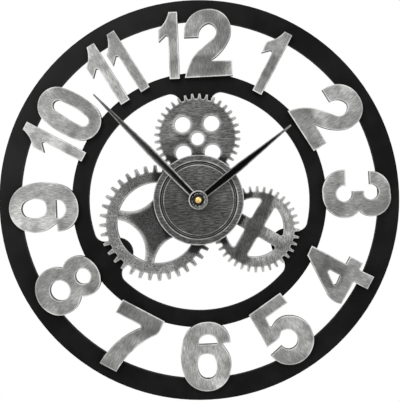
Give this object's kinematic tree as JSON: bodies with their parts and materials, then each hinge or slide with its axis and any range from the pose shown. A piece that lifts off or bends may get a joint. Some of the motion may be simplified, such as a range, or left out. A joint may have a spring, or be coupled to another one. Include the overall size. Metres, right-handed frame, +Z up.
{
  "type": "wall clock",
  "caption": "A round wooden wall clock with cut-out silver numerals on two black rings, three loose toothed wheels behind a dark hub, and black hour and minute hands.",
  "frame": {"origin": "on the spindle's axis, at the wall", "axes": "+X right, +Z up, the front faces -Y, the wall is the plane Y = 0"},
  "size_m": [0.3999, 0.0322, 0.4],
  "materials": {
    "ring_board": "black paint, matte",
    "numeral_board": "silver dry-brushed over black",
    "wheel_board": "dark silver dry-brushed over black",
    "hub_board": "dark grey brushed over black",
    "steel": "plain steel",
    "brass": "plain brass",
    "case_plastic": "black moulded",
    "battery_sleeve": "grey sleeve",
    "contact_steel": "nickel plated",
    "wheel_plastic": "white moulded",
    "knob_plastic": "grey moulded",
    "hand_metal": "black with silver-brushed edges"
  },
  "bodies": {
    "frame": {"outer_ring": "ring_board", "inner_ring": "ring_board", "numerals": "numeral_board", "top_wheel": "wheel_board", "left_wheel": "wheel_board", "right_wheel": "wheel_board", "hub_cover": "hub_board", "steel_washer": "steel", "hex_nut": "brass", "movement_case": "case_plastic", "back_cover": "case_plastic", "hanger": "steel", "battery": "battery_sleeve", "battery_contact_negative": "contact_steel", "battery_contact_positive": "contact_steel"},
    "minute": {"minute_arbor": "steel", "minute_hand": "hand_metal", "cap_nut": "brass"},
    "hour": {"hour_wheel": "wheel_plastic", "hour_hand": "hand_metal"},
    "motion": {"motion_wheel": "wheel_plastic", "setting_knob": "knob_plastic"}
  },
  "joints": [
    {"name": "minute_turn", "type": "hinge", "parent": "frame", "child": "minute", "pos_m": [0, 0, 0], "axis": [0, 1, 0], "continuous": true},
    {"name": "hour_turn", "type": "hinge", "parent": "frame", "child": "hour", "pos_m": [0, 0, 0], "axis": [0, 1, 0], "continuous": true},
    {"name": "motion_turn", "type": "hinge", "parent": "frame", "child": "motion", "pos_m": [0.00786, 0, 0.00551], "axis": [0, 1, 0], "continuous": true}
  ],
  "couplings": [
    {"joint": "hour_turn", "follows": "minute_turn", "ratio": 0.083333},
    {"joint": "motion_turn", "follows": "minute_turn", "ratio": -0.33333}
  ]
}
